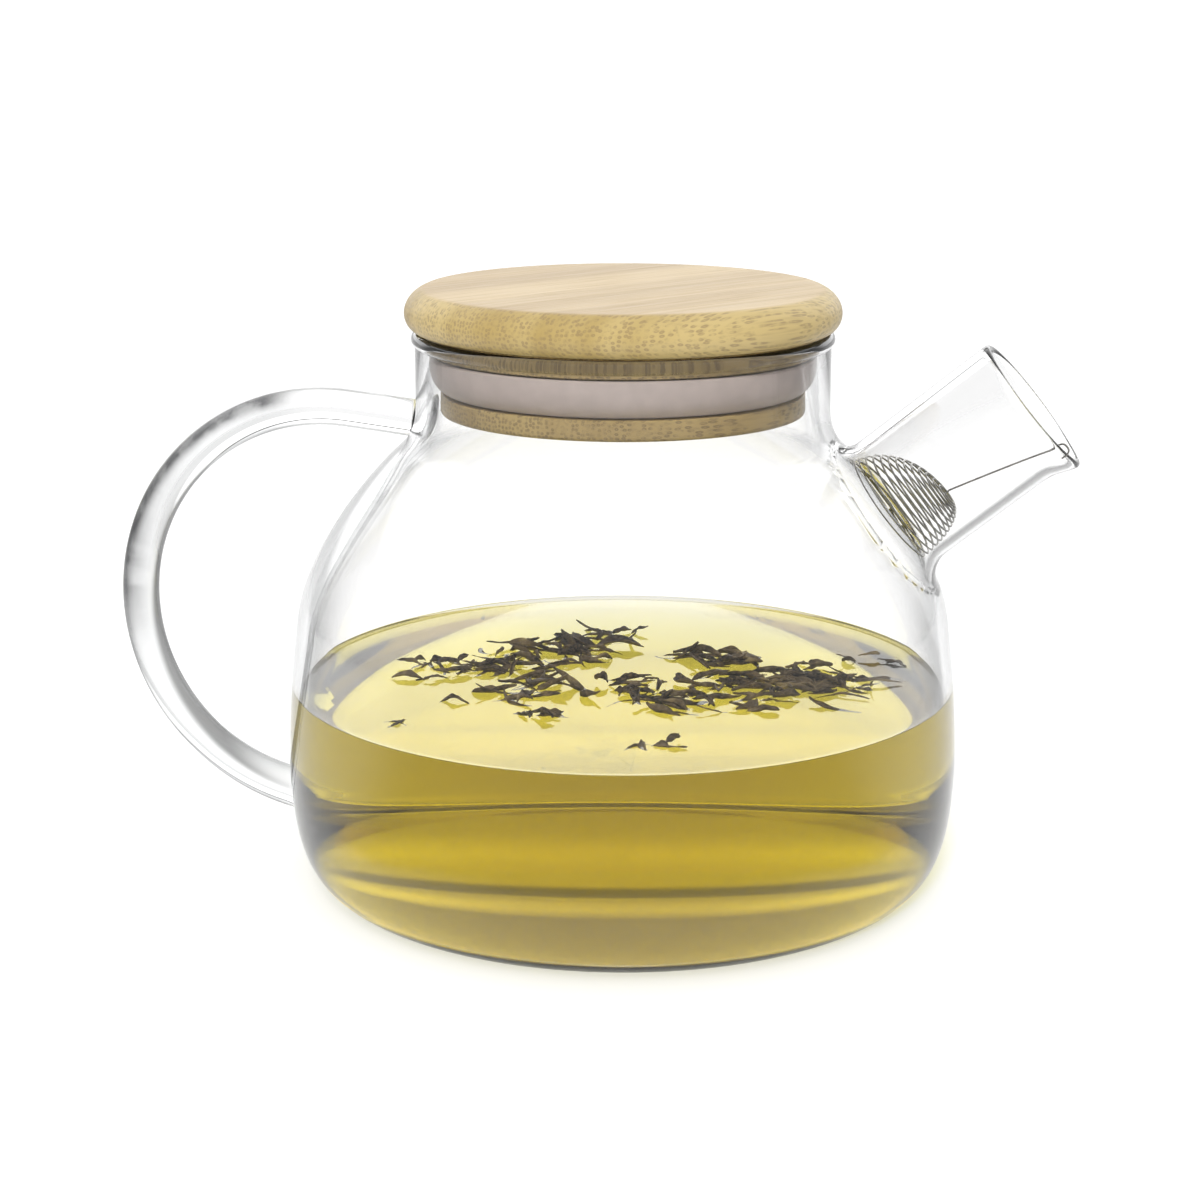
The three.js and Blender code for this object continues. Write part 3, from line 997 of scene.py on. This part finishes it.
def makeFloor():
    bm = bmesh.new()
    bmesh.ops.create_circle(bm, segments=96, radius=stage["floorRadius"], cap_ends=True)
    bmesh.ops.translate(bm, verts=bm.verts, vec=(0, 0, -stage["drop"]))
    material, tree, shader = newMaterial("paleFloor")
    shader.inputs["Base Color"].default_value = (*stage["floorColour"], 1)
    shader.inputs["Roughness"].default_value = 0.9
    place = addNode(tree, "ShaderNodeTexCoord")
    reach = lengthOf(tree, place.outputs["Object"])
    link(tree, ramp(tree, reach, stage["floorFade"], stage["floorRadius"], 1, 0), shader.inputs["Alpha"])
    shader.inputs["Emission Color"].default_value = (1, 1, 1, 1)
    under = ramp(tree, reach, *stage["underReach"], stage["glowUnderPot"], stage["glow"])
    path = addNode(tree, "ShaderNodeLightPath")
    link(tree, mixValue(tree, path.outputs["Is Transmission Ray"], stage["glow"], under),
         shader.inputs["Emission Strength"])
    # the side cards show through the glass, the front one only in what the glass mirrors
    card = addNode(tree, "ShaderNodeBsdfDiffuse")
    card.inputs["Color"].default_value = (*stage["card"], 1)
    angle = angleFromBack(tree, place.outputs["Object"])[0]
    beyond = smooth(tree, reach, *stage["cardReach"])
    sector = multiply(tree, arcMask(tree, angle, "cardStart"), arcMask(tree, angle, "cardEnd"))
    sector = multiply(tree, sector, beyond)
    ahead = multiply(tree, arcMask(tree, angle, "mirrorArc"), beyond)
    mirrored = smooth(tree, path.outputs["Glossy Depth"], 0.4, 0.6)
    both = joinValues(tree, "ADD", multiply(tree, sector, path.outputs["Is Transmission Ray"]),
                      multiply(tree, ahead, mirrored), clamp=True)
    mix = addNode(tree, "ShaderNodeMixShader")
    link(tree, both, mix.inputs["Fac"])
    link(tree, shader.outputs["BSDF"], mix.inputs[1])
    link(tree, card.outputs["BSDF"], mix.inputs[2])
    link(tree, mix.outputs["Shader"], tree.nodes["Material Output"].inputs["Surface"])
    makeObject("floor", bm, material)


def angleFromBack(tree, source):
    # how far round from straight behind the pot a place or direction lies, and how high it points
    turn = addNode(tree, "ShaderNodeMapping", vector_type="POINT")
    turn.inputs["Rotation"].default_value = (0, 0, -math.radians(camera["round"]))
    link(tree, source, turn.inputs["Vector"])
    axes = addNode(tree, "ShaderNodeSeparateXYZ")
    link(tree, turn.outputs["Vector"], axes.inputs["Vector"])
    turned = addNode(tree, "ShaderNodeMath", operation="ARCTAN2")
    link(tree, axes.outputs["X"], turned.inputs[0])
    link(tree, axes.outputs["Y"], turned.inputs[1])
    aside = addNode(tree, "ShaderNodeMath", operation="ABSOLUTE")
    link(tree, turned.outputs["Value"], aside.inputs[0])
    return aside.outputs["Value"], axes.outputs["Z"]


def makeKey():
    # a small soft box in front and above: it throws the lid's shadow behind the pot
    light = bpy.data.lights.new("key", "AREA")
    light.size = stage["keySize"]
    light.energy = stage["keyPower"]
    lamp = bpy.data.objects.new("key", light)
    scene.collection.objects.link(lamp)
    rise = math.radians(stage["keyRise"])
    turn = math.radians(camera["round"] + stage["keyAside"])
    place = Vector((math.sin(turn) * math.cos(rise), -math.cos(turn) * math.cos(rise), math.sin(rise)))
    lamp.location = place * stage["keyDistance"] + Vector((0, 0, stage["keyAim"]))
    lamp.rotation_euler = place.to_track_quat("Z", "Y").to_euler()
    lamp.visible_glossy = False
    lamp.visible_transmission = False


def makeSky():
    # plain white to the camera; to the glass, a bright back, front and ceiling with dark sides
    world = bpy.data.worlds.new("studio")
    scene.world = world
    world.use_nodes = True
    tree = world.node_tree
    background = tree.nodes["Background"]
    background.inputs["Color"].default_value = (1, 1, 1, 1)
    direction = addNode(tree, "ShaderNodeTexCoord")
    angle, height = angleFromBack(tree, direction.outputs["Generated"])
    behind = arcMask(tree, angle, "backArc")
    path = addNode(tree, "ShaderNodeLightPath")
    straight = multiply(tree, path.outputs["Is Transmission Ray"],
                        smooth(tree, path.outputs["Glossy Depth"], 0.6, 0.4))
    front = mixValue(tree, straight, stage["front"], 1.0)
    light = mixValue(tree, arcMask(tree, angle, "frontArc"), stage["sides"], front)
    light = mixValue(tree, behind, light, stage["back"])
    for level, arc in (("panel", behind), ("gap", behind), ("high", arcMask(tree, angle, "highArc"))):
        band = multiply(tree, arc, smooth(tree, height, *stage[level + "Height"]))
        light = mixValue(tree, band, light, stage[level])
    light = mixValue(tree, smooth(tree, height, *stage["ceilingHeight"]), light, stage["ceiling"])
    link(tree, mixValue(tree, path.outputs["Is Camera Ray"], light, stage["white"]),
         background.inputs["Strength"])


makeFloor()
makeKey()
makeSky()
scene.view_settings.view_transform = "Standard"
scene.cycles.caustics_refractive = True
scene.cycles.caustics_reflective = False
scene.cycles.transmission_bounces = 20
scene.cycles.transparent_max_bounces = 24
scene.cycles.max_bounces = 24
print("stage ready")
